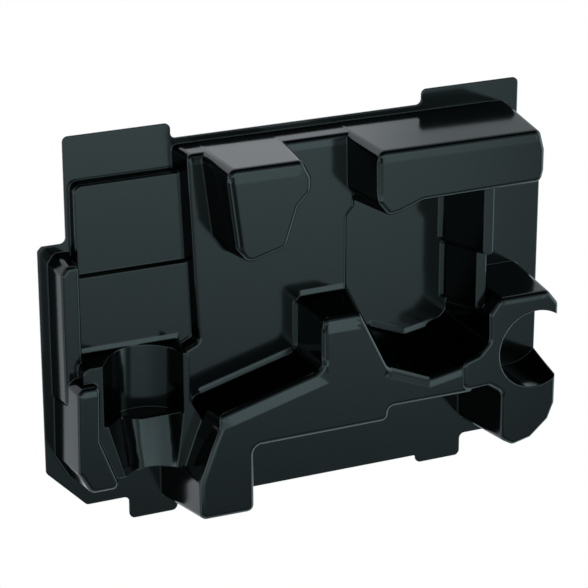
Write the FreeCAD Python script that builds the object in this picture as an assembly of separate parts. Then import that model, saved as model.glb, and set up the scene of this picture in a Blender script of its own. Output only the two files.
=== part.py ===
import FreeCAD, Part
import math
import os

# A tool tray formed from one thin plastic sheet, lying on its flange. Sizes in mm, angles in degrees.
# The underside of the flange is z = 0, the origin is the middle of its outline, and X is the long side.

sheet = 1.5

# levels of the outer surface
flangeTop = sheet
octagonFloor = 7.0
upperPad = 9.0
lowerPad = 12.5
plateau = 21.0
seatFloor = 21.0
ribTop = 25.0
cradleTop = 35.0
lowerLeftTop = 42.0
ridgeLowTop = 48.0
beamTop = 58.0
centreTop = 58.0
barTop = 60.0
clampTop = 60.0

# draft and corner radius of a block that has none of its own
commonDraft = 5.0
cornerRadius = 5.0

# rims of the formed blocks, and the bend in degrees up to which a side stays a plain crease
rimRadius = 3.5
lowRimRadius = 3.0
padBevel = 1.2
gentleBend = 28.0

# flange
halfLength = 190.0
drawnHalfLength = 190.0
flangeCorner = 4.0
flangeSmallCorner = 1.9
frontEdge = -136.5
frontTabs = -142.6
backEdge = 131.7
backTabs = 142.5
lowEdge = -125.6
cutCornerX = halfLength - 28.5
cutCornerY = -96.5
tabWidth = 36.0
tabOuter = halfLength - 60.0
notchX = halfLength - 20.0
notchY = 68.5
stepY = 74.5

# trough for the round barrel of the tool, straight first and then a cone that rises
troughX = -128.5
troughRadius = 28.5
troughBottom = 13.0
troughStart = -9.5
coneX = -125.0
coneStart = -54.0
coneEnd = -93.5
coneStartRadius = 24.0
coneEndRadius = 21.0
coneStartBottom = 15.0
coneEndBottom = 21.5
troughLeftEdge = -164.0
troughLean = 8.0

# round seat in the clamp block
seatX = 158.4
seatY = -41.1
seatRadius = 27.0
seatDraft = 3.0

# along X everything is drawn for the drawn half length and stretches with the flange
stretch = halfLength / drawnHalfLength

# Corners run anticlockwise round a block's top: x, y, radius, draft of the side that follows.
# The last two may be left out.
barCorners = [
    (33.0, 122.0, 5, 7.9), (33.6, 85.0), (41.0, 75.6), (48.5, 76.4, 8), (67.0, 82.8, 8), (158.5, 83.8),
    (160.5, 92.0), (160.5, 107.0), (156.5, 121.5),
]
centreCorners = [
    (-76.3, 123.3, 6, 5.5), (-69.0, 66.5, 8), (-62.0, 56.0, 8), (-34.0, 63.5, 8), (-25.0, 91.5, 10),
    (-15.8, 100.5, 8), (-15.8, 111.0, 8), (-22.3, 123.0, 5, 3.8),
]
beamCorners = [
    (-98.4, -126.0), (-59.0, -126.4), (-59.0, -77.4, 6), (43.8, -76.8, 5.5), (43.8, -66.8, 4),
    (112.0, -66.8, 4, 2), (112.0, -44.0, 4, 14.8), (76.0, -50.5, 6, 16.2), (43.0, -37.0, 8, 13.4),
    (21.0, 7.6, 5, 7), (-6.3, 7.4, 5, 6.7), (-6.3, -30.0, 8, 4.2), (-83.4, -50.6, 5, 9), (-83.4, -60.0, 6, 9),
    (-89.0, -73.0, 6, 9), (-98.4, -98.5, 6, 8),
]
clampCorners = [
    (128.8, 1.4, 6, 3), (121.3, -9.0, 5, 9), (121.8, -30.0, 5, 12), (113.5, -39.0, 8, 13), (101.0, -42.5, 6),
    (101.0, -64.5, 6), (122.0, -63.5, 6), (132.6, -70.5, 6), (133.4, -108.0, 6), (142.6, -113.4, 6),
    (156.9, -110.0, 8), (170.8, -98.0, 8), (175.6, -86.0, 8), (175.8, -9.2), (167.4, 1.4, 5, 2),
]
ridgeCorners = [(115.0, 95.0, 2, 7), (115.0, 35.5, 3, 7), (122.5, 35.5, 3, 7), (122.5, 95.0, 2, 7)]
ridgeLowCorners = [(115.5, 60.0, 2, 7), (115.5, -8.0, 2, 7), (123.0, -8.0, 2, 7), (123.0, 60.0, 2, 7)]
lowerLeftCorners = [
    (-178.6, -24.5, 4), (-179.6, -83.0), (-171.5, -98.0, 6), (-153.5, -98.0, 4), (-151.8, -93.0, 4),
    (-164.0, -60.5), (-163.0, -21.0, 4), (-175.0, -21.0, 4),
]
ribCorners = [(-181.5, 55.0, 4), (-181.5, -40.0, 4), (-169.0, -40.0, 4), (-169.0, 60.5, 4), (-177.5, 60.5, 4)]
plateauCorners = [
    (-89.4, 124.9, 4, 12), (-83.4, -9.6, 4, 12), (-101.0, -17.5, 4), (-101.0, -70.0), (28.3, -70.0),
    (28.3, 65.3, 4), (34.0, 71.0, 4), (34.0, 110.0, 4), (150.0, 110.0, 4), (150.0, 124.9, 4, 6),
]
octagonCorners = [(10.0, 100.0), (10.0, -50.0), (126.0, -50.0), (126.0, 100.0)]
upperPadCorners = [(-165.9, 110.5, 6), (-165.9, 30.0), (-70.0, 30.0), (-70.0, 110.5)]
lowerPadCorners = [(-174.0, 47.5), (-174.0, -20.0), (-70.0, -20.0), (-70.0, 47.5)]
cradleCorners = [
    (-172.0, troughStart), (-172.0, -70.0), (-150.0, coneEnd), (-92.0, coneEnd), (-88.0, -60.0),
    (-96.5, -45.0), (-96.5, troughStart, 4),
]


def vector(x, y, z):
    return FreeCAD.Vector(x, y, z)


def unit(ax, ay, bx, by):
    length = math.hypot(bx - ax, by - ay)
    return (bx - ax) / length, (by - ay) / length


def turn(corners, i):
    # angle in degrees through which the outline turns at this corner, positive to the left
    ax, ay = unit(*corners[i - 1][:2], *corners[i][:2])
    bx, by = unit(*corners[i][:2], *corners[(i + 1) % len(corners)][:2])
    return math.degrees(math.atan2(ax * by - ay * bx, ax * bx + ay * by))


def moved(corners, shifts):
    # every side moves outward by its own shift and meets its neighbours again
    result = []
    for i in range(len(corners)):
        px, py = corners[i - 1][:2]
        x, y = corners[i][:2]
        nx, ny = corners[(i + 1) % len(corners)][:2]
        ax, ay = unit(px, py, x, y)
        bx, by = unit(x, y, nx, ny)
        fromX, fromY = x + ay * shifts[i - 1], y - ax * shifts[i - 1]
        toX, toY = x + by * shifts[i], y - bx * shifts[i]
        along = ((toX - fromX) * by - (toY - fromY) * bx) / (ax * by - ay * bx)
        result.append((fromX + ax * along, fromY + ay * along))
    return result


def between(near, far):
    # the solid with flat sides between two outlines of as many corners
    faces = [Part.Face(Part.makePolygon(near[::-1] + near[-1:])), Part.Face(Part.makePolygon(far + far[:1]))]
    for i in range(len(near)):
        after = (i + 1) % len(near)
        around = [near[i], near[after], far[after], far[i], near[i]]
        faces.append(Part.Face(Part.makePolygon(around)))
    solid = Part.Solid(Part.makeShell(faces))
    solid.fix(0.001, 0.001, 0.001)
    return solid


def roundUprights(solid, lower, upper, radii):
    # an upright with no radius stays a plain crease
    for radius in sorted(set(radii) - {0}):
        middles = [(low + high) * 0.5 for low, high, r in zip(lower, upper, radii) if r == radius]
        edges = []
        for edge in solid.Edges:
            middle = edge.CenterOfMass
            if any((middle - m).Length < 0.01 for m in middles):
                edges.append(edge)
        solid = solid.makeFillet(radius, edges).Solids[0]
    return solid


def block(corners, top, inset, rim=rimRadius, bevel=0):
    # A drafted block with rounded uprights and a rounded or bevelled rim. With an inset it is the same
    # block's underside: each side and the top lie one sheet further in, and a bevel follows the rim.
    full = [[c[0] * stretch, *c[1:], *[cornerRadius, commonDraft][len(c) - 2:]] for c in corners]
    slopes = [math.tan(math.radians(c[3])) for c in full]
    high = top - inset
    inward = [-inset * math.hypot(1, slope) for slope in slopes]
    topShift = [slope * inset + shift for slope, shift in zip(slopes, inward)]
    footLine = moved(full, [slope * top for slope in slopes])
    upper = [vector(x, y, high) for x, y in moved(full, topShift)]
    lower = [vector(x, y, 0) for x, y in moved(footLine, inward)]
    solid = between(lower, upper)
    radii = []
    for i, corner in enumerate(full):
        grown = corner[2] - math.copysign(inset, turn(full, i))
        radii.append(grown if abs(turn(full, i)) > gentleBend else 0)
    solid = roundUprights(solid, lower, upper, radii)
    edges = [e for e in solid.Edges if min(v.Z for v in e.Vertexes) > high - 0.001]
    if rim > 0 and inset == 0:
        return solid.makeFillet(rim, edges).Solids[0]
    width = 0.65 * (rim - inset) if rim > inset else bevel
    if width > 0:
        return solid.makeChamfer(width, edges).Solids[0]
    return solid


def channel(x, bottom, radius, fromY, toY, rise, grow, inset):
    # A round bottomed channel along -Y. Its axis rises and its radius grows by the way, and flat sides
    # stand on it without a crease: the left one flares to the block beside it.
    x = x * stretch
    edgeX = troughLeftEdge * stretch - inset
    grown = radius + inset
    middle = bottom + radius
    shoulderHeight = lowerLeftTop - middle
    reach = math.hypot(edgeX - x, shoulderHeight)
    towards = math.atan2(shoulderHeight, edgeX - x)
    leftAngle = towards + math.acos(grown / reach)
    rightAngle = -math.radians(troughLean)

    axis = vector(0, -1, rise)
    axis.normalize()
    up = vector(0, rise, 1)
    up.normalize()
    widen = grow * -axis.y
    start = vector(x, fromY, middle)
    length = (fromY - toY) / -axis.y
    if grow:
        barrel = Part.makeCone(grown, grown + widen * length, length, start, axis)
    else:
        barrel = Part.makeCylinder(grown, length, start, axis)

    def section(y):
        outline = []
        for angle, level in ((leftAngle, lowerLeftTop), (rightAngle, beamTop + 12)):
            across = vector(1, 0, 0) * math.cos(angle) + up * math.sin(angle)
            run = axis + across * widen
            touch = start + across * grown
            touch = touch + run * ((y - touch.y) / run.y)
            side = (across - axis * widen).cross(vector(0, 1, 0))
            outline.append((touch, touch + side * ((level - touch.z) / side.z)))
        (left, shoulder), (right, far) = outline
        centre = start + axis * ((y - start.y) / axis.y)
        return [vector(shoulder.x, y, far.z), shoulder, left, centre, right, far]

    return barrel.fuse(between(section(fromY), section(toY)))


def troughCutter(inset):
    run = coneStart - coneEnd
    grow = (coneEndRadius - coneStartRadius) / run
    rise = (coneEndBottom - coneStartBottom) / run
    behind = troughStart + 20
    past = coneEnd - 8
    straight = channel(troughX, troughBottom, troughRadius, behind, coneStart - inset, 0, 0, inset)
    cone = channel(coneX, coneStartBottom, coneStartRadius, coneStart + 1, past, rise, grow, inset)
    return straight.fuse(cone)


def seatCutter(inset):
    # open towards +X, because the circle reaches past the side of the block
    slope = math.tan(math.radians(seatDraft))
    floor = seatFloor - inset
    high = clampTop + 10
    low = seatRadius + inset * math.hypot(1, slope) - inset * slope
    centre = vector(seatX * stretch, seatY, floor)
    return Part.makeCone(low, low + (high - floor) * slope, high - floor, centre)


def flange():
    tabInner = tabOuter - tabWidth
    points = [
        (-halfLength, notchY - 3), (-halfLength, cutCornerY), (-cutCornerX, lowEdge), (-tabOuter, lowEdge),
        (-tabOuter, frontTabs), (-tabInner, frontTabs), (-tabInner, frontEdge), (tabInner, frontEdge),
        (tabInner, frontTabs), (tabOuter, frontTabs), (tabOuter, lowEdge), (halfLength, lowEdge),
        (halfLength, stepY - 3), (halfLength - 3, stepY), (notchX, stepY), (notchX, backTabs),
        (tabInner, backTabs), (tabInner, backEdge), (-tabInner, backEdge), (-tabInner, backTabs),
        (-notchX, backTabs), (-notchX, notchY), (3 - halfLength, notchY),
    ]
    small = [0, 6, 7, 12, 13, 22]
    lower = [vector(x, y, 0) for x, y in points]
    upper = [vector(x, y, sheet) for x, y in points]
    plate = Part.Face(Part.makePolygon(lower + lower[:1])).extrude(vector(0, 0, sheet))
    radii = [flangeSmallCorner if i in small else flangeCorner for i in range(len(points))]
    return roundUprights(plate, lower, upper, radii)


def form(inset):
    # the outer form for no inset, and the form of its underside for an inset of one sheet
    bar = block(barCorners, barTop, inset)
    centre = block(centreCorners, centreTop, inset)
    beam = block(beamCorners, beamTop, inset)
    clamp = block(clampCorners, clampTop, inset, rim=lowRimRadius)
    clamp = clamp.cut(seatCutter(inset))
    ridge = block(ridgeCorners, beamTop, inset, rim=0)
    ridgeLow = block(ridgeLowCorners, ridgeLowTop, inset, rim=0)
    lowerLeft = block(lowerLeftCorners, lowerLeftTop, inset, rim=lowRimRadius)
    rib = block(ribCorners, ribTop, inset, rim=lowRimRadius)
    middle = block(plateauCorners, plateau, inset, rim=lowRimRadius)
    cradle = block(cradleCorners, cradleTop, inset, rim=0)
    upper = block(upperPadCorners, upperPad, inset, rim=0, bevel=padBevel)
    lower = block(lowerPadCorners, lowerPad, inset, rim=0, bevel=padBevel)
    body = block(octagonCorners, octagonFloor, inset, rim=0)
    for piece in [upper, lower, middle, rib, lowerLeft, cradle, ridgeLow, ridge, centre, beam, bar, clamp]:
        body = body.fuse(piece)
    return body.cut(troughCutter(inset)).removeSplitter()


def tray():
    outer = form(0).fuse(flange())
    return outer.cut(form(sheet)).removeSplitter().Solids[0]


os.makedirs("parts", exist_ok=True)
tray().exportStep("parts/insert_tray.step")
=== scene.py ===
import bmesh
import bpy
from mathutils import Matrix, Vector


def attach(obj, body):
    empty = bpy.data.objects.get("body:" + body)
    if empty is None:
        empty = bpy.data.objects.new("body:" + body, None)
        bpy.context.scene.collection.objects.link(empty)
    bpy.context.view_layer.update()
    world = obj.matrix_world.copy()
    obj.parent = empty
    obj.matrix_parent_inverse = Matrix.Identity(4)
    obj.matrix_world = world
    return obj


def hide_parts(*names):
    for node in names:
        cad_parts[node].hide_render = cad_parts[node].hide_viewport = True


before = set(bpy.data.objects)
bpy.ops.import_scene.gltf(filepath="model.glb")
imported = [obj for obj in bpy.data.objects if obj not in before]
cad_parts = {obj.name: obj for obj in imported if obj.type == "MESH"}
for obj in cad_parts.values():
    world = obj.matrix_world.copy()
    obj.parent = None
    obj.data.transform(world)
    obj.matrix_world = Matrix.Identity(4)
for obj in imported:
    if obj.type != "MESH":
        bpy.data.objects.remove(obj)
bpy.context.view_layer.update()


class Value:
    # a number socket that can be used in sums

    def __init__(self, tree, socket):
        self.tree = tree
        self.socket = socket

    def math(self, operation, *items):
        node = self.tree.nodes.new("ShaderNodeMath")
        node.operation = operation
        for place, item in enumerate(items):
            if isinstance(item, Value):
                self.tree.links.new(item.socket, node.inputs[place])
            else:
                node.inputs[place].default_value = item
        return Value(self.tree, node.outputs[0])

    def __add__(self, other):
        return self.math("ADD", self, other)

    def __radd__(self, other):
        return self.math("ADD", other, self)

    def __sub__(self, other):
        return self.math("SUBTRACT", self, other)

    def __rsub__(self, other):
        return self.math("SUBTRACT", other, self)

    def __mul__(self, other):
        return self.math("MULTIPLY", self, other)

    def __rmul__(self, other):
        return self.math("MULTIPLY", other, self)


class Shader:
    # one node tree, emptied, with a single method that adds any node

    def __init__(self, owner):
        owner.use_nodes = True
        self.tree = owner.node_tree
        self.tree.nodes.clear()

    def add(self, kind, settings=None, **sockets):
        # a socket goes by its name, with _ for a space, or by its number, as in i6
        node = self.tree.nodes.new(kind)
        for name, value in (settings or {}).items():
            setattr(node, name, value)
        for name, value in sockets.items():
            numbered = name[0] == "i" and name[1:].isdigit()
            socket = node.inputs[int(name[1:]) if numbered else name.replace("_", " ")]
            if isinstance(value, Value):
                value = value.socket
            if isinstance(value, bpy.types.NodeSocket):
                self.tree.links.new(value, socket)
            else:
                socket.default_value = value
        return node

    def value(self, node, output=0):
        return Value(self.tree, node.outputs[output])

    def between(self, value, low, high, fromLow, fromHigh):
        # goes smoothly from low to high while value goes from fromLow to fromHigh
        node = self.add("ShaderNodeMapRange", {"interpolation_type": "SMOOTHSTEP"}, Value=value,
                        From_Min=fromLow, From_Max=fromHigh, To_Min=low, To_Max=high)
        return self.value(node)

    def blend(self, factor, first, second):
        # inputs 6 and 7 of a Mix node are its colours, and output 2 is the mixed colour
        node = self.add("ShaderNodeMix", {"data_type": "RGBA"}, Factor=factor, i6=first, i7=second)
        return node.outputs[2]


noiseMiddle = 0.5  # the value that a noise texture varies around

sheetLook = {
    "colour": (0.0003, 0.0004, 0.0004, 1),
    "dustColour": (0.0009, 0.0012, 0.0012, 1),
    "dustShare": 0.35,  # at most this far from the colour to the dust's
    "dustFrom": (0.5, 0.8),  # values of the cloud noise between which dust sets in
    "roughness": 0.13,
    "roughnessSpread": 0.05,
    "ior": 1.52,
    "softEdge": 0.0014,  # in metres, as the heights below
    "softSteps": 8,
    "grainHeight": 0.00002,
    "grainStrength": 0.35,
    "rippleHeight": 0.0003,
    "rippleStrength": 0.12,
    "cloud": {"Scale": 14.0, "Detail": 3.0, "Roughness": 0.6},
    "grain": {"Scale": 900.0, "Detail": 2.0, "Roughness": 0.7},
    "ripple": {"Scale": 26.0, "Detail": 1.0, "Roughness": 0.4},
}


def sheetMaterial(look):
    # near-black gloss plastic with faint dust, a fine grain and slow ripples
    material = bpy.data.materials.new("black_sheet")
    s = Shader(material)
    place = s.add("ShaderNodeTexCoord").outputs["Object"]
    cloud, fine, swell = [s.value(s.add("ShaderNodeTexNoise", Vector=place, **look[name]))
                          for name in ("cloud", "grain", "ripple")]
    dust = s.between(cloud, 0.0, look["dustShare"], *look["dustFrom"])
    soft = s.add("ShaderNodeBevel", {"samples": look["softSteps"]}, Radius=look["softEdge"])
    grain = s.add("ShaderNodeBump", Height=fine, Distance=look["grainHeight"],
                  Strength=look["grainStrength"], Normal=soft.outputs[0])
    ripple = s.add("ShaderNodeBump", Height=swell, Distance=look["rippleHeight"],
                   Strength=look["rippleStrength"], Normal=grain.outputs[0])
    body = s.add("ShaderNodeBsdfPrincipled",
                 Base_Color=s.blend(dust, look["colour"], look["dustColour"]),
                 Roughness=look["roughness"] + (cloud - noiseMiddle) * look["roughnessSpread"],
                 IOR=look["ior"], Normal=ripple.outputs[0])
    s.add("ShaderNodeOutputMaterial", Surface=body.outputs[0])
    return material


perMetre = 1000  # the slopes are given in mm, and the mesh is in metres

traySlopes = {
    # each slope has its line, the level of the line, its width, its fall per mm of that
    # width, and the length over which it fades in and out; inside is to the line's right
    "rims": [
        ([(-86.0, -51.3), (-3.5, -29.3)], 58.0, 10.5, 0.13, 9.0),  # beam
        ([(-7.0, 7.5), (21.5, 7.5)], 58.0, 11.0, 0.13, 4.0),  # tower
        ([(42.0, -36.6), (76.0, -50.5), (106.0, -45.1)], 58.0, 6.5, 0.13, 5.0),  # bent beam
        ([(128.0, 1.4), (167.0, 1.4)], 60.0, 5.0, 0.13, 4.0),  # clamp block
        ([(-89.0, 124.9), (33.0, 124.9)], 21.0, 7.0, 0.13, 4.0),  # plateau
        ([(-76.0, 123.3), (-22.0, 123.0)], 58.0, 10.0, 0.04, 4.0),  # upper centre block
        ([(33.0, 122.0), (157.0, 121.5)], 60.0, 8.0, 0.04, 4.0),  # upper right block
        ([(-6.3, -27.0), (-6.3, 3.0)], 58.0, 3.6, 0.7, 4.0),  # tower, on its left
        ([(-68.8, 64.0), (-75.6, 118.0)], 58.0, 4.0, 0.7, 4.0),  # centre block, on its left
        ([(33.5, 88.0), (33.0, 118.0)], 60.0, 3.0, 0.7, 4.0),  # right block, on its left
        ([(-178.5, -21.0), (-161.5, -21.0)], 42.0, 6.0, 0.13, 4.0),  # lower left block
    ],
    # at the foot of these walls the floor rises, so the fall is negative
    "feet": [
        ([(-12.0, -28.7), (-84.0, -48.0)], 21.0, 4.6, -0.19, 1.5),  # beam
        ([(27.0, 12.2), (-8.0, 11.9)], 21.0, 4.0, -0.19, 1.5),  # tower
        ([(-95.0, -7.5), (-168.5, -7.5)], 12.5, 3.6, -0.135, 1.5),  # lower pad
        ([(-10.6, 9.0), (-10.6, -26.0)], 21.0, 2.6, -0.8, 1.5),  # tower, on its left
        # the eight sided floor
        ([(106.0, -31.4), (80.0, -36.1), (51.0, -24.4)], 7.0, 4.0, -0.19, 1.5),
        ([(108.7, 77.0), (108.7, 32.0)], 7.0, 2.6, -0.8, 1.5),
        ([(110.5, 30.0), (110.5, -12.0)], 7.0, 2.6, -0.8, 1.5),
    ],
    "depth": 3.5,  # a rim moves the points down to this far below it
    "footDepth": 0.3,
    "above": 0.2,  # and those up to this far above it
    "outside": 3,  # and this far outside its line
    "fullShare": 1.2,  # over 1, so that points just below the rim still move all the way
    "margin": 2,  # faces are cut this far beyond a slope
    "steep": 0.35,  # a wall's normal rises less than this
    "sameSurface": 0.86,  # cosine between the normals of faces that shade as one
    "samePlane": 0.003,  # radians between faces that are merged
    "weld": 2e-6,  # metres, as precision
    "precision": 1e-6,
}


def cutFaces(bm, low, high, point, normal, precision):
    # cuts the faces near a slope along an upright plane
    near = []
    for face in bm.faces:
        xs, ys, zs = zip(*[v.co * perMetre for v in face.verts])
        if min(zs) < low[2] or max(zs) > high[2]:
            continue
        if max(xs) < low[0] or min(xs) > high[0] or max(ys) < low[1] or min(ys) > high[1]:
            continue
        near.append(face)
    parts = set(near)
    for face in near:
        parts.update(face.edges)
        parts.update(face.verts)
    bmesh.ops.bisect_plane(bm, geom=list(parts), dist=precision, plane_co=point / perMetre,
                           plane_no=normal)


def straightRuns(points):
    # the start, direction, direction inwards and length of each straight part of a line
    runs = []
    for start, end in zip(points, points[1:]):
        along = (end - start).normalized()
        inward = Vector((along.y, -along.x, 0))
        runs.append((start, along, inward, (end - start).length))
    return runs


def slopeCuts(runs, width, fade):
    # a point and a normal for the planes at a slope's inner side, ends and bends
    cuts = []
    last = len(runs) - 1
    for index, (start, along, inward, length) in enumerate(runs):
        cuts.append((start + inward * width, inward))
        if index == 0:
            cuts += [(start, along), (start + along * fade, along)]
        if index == last:
            cuts += [(start + along * length, along), (start + along * (length - fade), along)]
        else:
            cuts.append((start + along * length, along + runs[index + 1][1]))
    return cuts


def slopeReach(place, runs, width, fade, outside):
    # how far a point lies outside the slope's inner side, in mm, less near both ends
    best = 0.0
    last = len(runs) - 1
    for index, (start, along, inward, length) in enumerate(runs):
        away = place - start
        across = away.dot(inward)
        if not -outside < across < width:
            continue
        if index > 0 and away.dot(along + runs[index - 1][1]) < 0:
            continue
        if index < last and (away - along * length).dot(along + runs[index + 1][1]) > 0:
            continue
        share = 1.0
        if index == 0:
            share = min(share, away.dot(along) / fade)
        if index == last:
            share = min(share, (length - away.dot(along)) / fade)
        best = max(best, (width - across) * max(share, 0.0))
    return best


def alongWall(vert, rise, steep):
    # a rise in mm that keeps a point at the foot of a wall on that wall
    walls = [f.normal for f in vert.link_faces if not f.smooth and abs(f.normal.z) < steep]
    if not walls:
        return Vector((0, 0, rise))
    normal = sum(walls, Vector()).normalized()
    slope = Vector((0, 0, 1)) - normal * normal.z
    return slope * (rise / slope.z)


def slopeEdge(bm, slope, depth, look):
    line, level, width, fall, fade = slope
    points = [Vector((x, y, level)) for x, y in line]
    runs = straightRuns(points)
    margin = look["margin"]
    low = [min(p[i] for p in points) - width - margin for i in range(2)]
    low.append(level - depth - margin)
    high = [max(p[i] for p in points) + width + margin for i in range(2)]
    high.append(level + look["above"])
    for point, normal in slopeCuts(runs, width, fade):
        cutFaces(bm, low, high, point, normal, look["precision"])
    bm.normal_update()
    shifts = {}
    for vert in bm.verts:
        place = vert.co * perMetre
        if not level - depth < place.z < level + look["above"]:
            continue
        drop = fall * slopeReach(place, runs, width, fade, look["outside"])
        if drop > 0:
            share = min(1.0, look["fullShare"] * (1 - (level - place.z) / depth))
            shifts[vert] = Vector((0, 0, -drop * share))
        elif drop < 0:
            shifts[vert] = alongWall(vert, -drop, look["steep"])
    for vert, shift in shifts.items():
        vert.co += shift / perMetre


def cornerNormals(bm, sameSurface):
    # curved faces take the normal of the flat face that they run into
    normals = []
    for face in bm.faces:
        for corner in face.loops:
            if not face.smooth:
                normals.append(face.normal.copy())
                continue
            around = corner.vert.link_faces
            near = [f for f in around if f.normal.dot(face.normal) > sameSurface]
            flat = [f for f in near if not f.smooth]
            normal = sum((f.normal * f.calc_area() for f in flat or near), Vector())
            normals.append(normal.normalized() if normal.length else face.normal.copy())
    return normals


def makeTray(node, look):
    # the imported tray's mesh, with the slopes cut into its rims and feet
    bm = bmesh.new()
    bm.from_mesh(node.data)
    bmesh.ops.remove_doubles(bm, verts=bm.verts, dist=look["weld"])
    flat = [e for e in bm.edges if not any(f.smooth for f in e.link_faces)]
    bmesh.ops.dissolve_limit(bm, angle_limit=look["samePlane"], verts=[], edges=flat)
    for slope in look["rims"]:
        slopeEdge(bm, slope, look["depth"], look)
    for slope in look["feet"]:
        slopeEdge(bm, slope, look["footDepth"], look)
    bmesh.ops.triangulate(bm, faces=[f for f in bm.faces if len(f.verts) > 3])
    bm.normal_update()
    normals = cornerNormals(bm, look["sameSurface"])
    mesh = bpy.data.meshes.new("tray_sheet")
    bm.to_mesh(mesh)
    bm.free()
    mesh.normals_split_custom_set(normals)
    piece = bpy.data.objects.new("tray_sheet", mesh)
    bpy.context.scene.collection.objects.link(piece)
    return piece


tray = makeTray(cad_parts["insert_tray"], traySlopes)
tray.data.materials.append(sheetMaterial(sheetLook))
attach(tray, "root")
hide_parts("insert_tray")
print("tray", len(tray.data.polygons), "faces")


floorLook = {
    "side": 40.0,
    "level": -0.0002,  # just under the tray
    "seen": (1, 1, 1, 1),
    "mirroredDim": (0.55, 0.62, 0.65, 1),
    "mirroredBright": (1.22, 1.31, 1.38, 1),
    "brightLeft": (-0.24, -0.1),  # where the bright part sets in, in metres
    "brightRight": (0.0, 0.13),
    "brightFront": (-0.21, -0.09),
}


def floorMaterial(look):
    # white to the camera, and to reflections bright from the middle to the back and dim elsewhere
    material = bpy.data.materials.new("floor")
    s = Shader(material)
    path = s.add("ShaderNodeLightPath")
    seen = s.add("ShaderNodeEmission", Color=look["seen"], Strength=1.0)
    place = s.add("ShaderNodeSeparateXYZ", Vector=s.add("ShaderNodeTexCoord").outputs["Object"])
    x, y = s.value(place), s.value(place, 1)
    bright = s.between(x, 0.0, 1.0, *look["brightLeft"])
    bright = bright * s.between(x, 1.0, 0.0, *look["brightRight"])
    bright = bright * s.between(y, 0.0, 1.0, *look["brightFront"])
    tone = s.blend(bright, look["mirroredDim"], look["mirroredBright"])
    mirrored = s.add("ShaderNodeEmission", Color=tone, Strength=1.0)
    either = s.add("ShaderNodeMixShader", i0=path.outputs["Is Camera Ray"],
                   i1=mirrored.outputs[0], i2=seen.outputs[0])
    s.add("ShaderNodeOutputMaterial", Surface=either.outputs[0])
    return material


def makeFloor(look):
    bpy.ops.mesh.primitive_plane_add(size=look["side"], location=(0, 0, look["level"]))
    floor = bpy.context.object
    floor.name = "floor"
    floor.data.materials.append(floorMaterial(look))


makeFloor(floorLook)
print("floor laid")


skyLook = {
    # a number alone is a brightness, and a pair gives the directions between which one
    # light sets in or ends, from -1 to 1
    "colour": (0.72, 1.0, 1.04, 1),
    "dim": 0.04,
    "box": 1.62,
    "boxFront": (-0.53, -0.16),
    "boxBack": (0.02, 0.14),
    "boxLeft": (-0.85, -0.1),
    "boxLeftEnd": 0.62,  # the share of the box's brightness that its left end has
    "boxRight": (0.43, 0.505),
    "boxRightEnd": 0.3,
    "horizon": 1.3,
    "horizonTop": (0.06, 0.33),
    "horizonBack": (0.05, 0.4),
    "back": 0.4,
    "backEdge": (0.08, 0.2),
    "backTop": (0.42, 0.58),
    "front": 0.5,
    "frontEdge": (-0.7, -0.55),
    "right": 1.1,
    "rightEdge": (0.6, 0.78),
}


def makeSky(look):
    # a dim studio with a wide soft box above, a pale sweep along the horizon, and soft
    # lights at the back, in front and on the right
    world = bpy.data.worlds.new("studio")
    bpy.context.scene.world = world
    s = Shader(world)
    direction = s.add("ShaderNodeTexCoord").outputs["Generated"]
    parts = s.add("ShaderNodeSeparateXYZ", Vector=direction)
    x, y, z = [s.value(parts, i) for i in range(3)]
    box = s.between(y, 0.0, 1.0, *look["boxFront"]) * s.between(y, 1.0, 0.0, *look["boxBack"])
    box = box * s.between(x, look["boxLeftEnd"], 1.0, *look["boxLeft"])
    box = box * s.between(x, 1.0, look["boxRightEnd"], *look["boxRight"])
    horizon = s.between(z, look["horizon"], 0.0, *look["horizonTop"])
    horizon = horizon * s.between(y, 1.0, 0.0, *look["horizonBack"])
    right = s.between(x, 0.0, look["right"], *look["rightEdge"])
    front = s.between(y, look["front"], 0.0, *look["frontEdge"])
    back = s.between(y, 0.0, look["back"], *look["backEdge"])
    back = back * s.between(y, 1.0, 0.0, *look["backTop"])
    level = look["dim"] + look["box"] * box + horizon + right + front + back
    sky = s.add("ShaderNodeBackground", Color=look["colour"], Strength=level)
    s.add("ShaderNodeOutputWorld", Surface=sky.outputs[0])


makeSky(skyLook)
print("studio lit")


cameraLook = {
    "place": (-0.684538, 0.647291, 1.514868),
    "right": (0.9116992, -0.0015159, 0.4108556),  # the camera's own three axes
    "up": (0.1494070, 0.9327542, -0.3280964),
    "back": (-0.3827299, 0.3605099, 0.8506177),
    "lens": 155.75,
    "sensor": 36,
    "nearest": 0.05,
    "farthest": 100,
}


def makeCamera(look):
    data = bpy.data.cameras.new("camera")
    data.sensor_width = look["sensor"]
    data.lens = look["lens"]
    data.clip_start = look["nearest"]
    data.clip_end = look["farthest"]
    camera = bpy.data.objects.new("camera", data)
    bpy.context.scene.collection.objects.link(camera)
    turn = Matrix((look["right"], look["up"], look["back"])).transposed()
    camera.matrix_world = Matrix.Translation(look["place"]) @ turn.to_4x4()
    bpy.context.scene.camera = camera


makeCamera(cameraLook)
bpy.context.scene.view_settings.view_transform = "Standard"

print("scene ready")
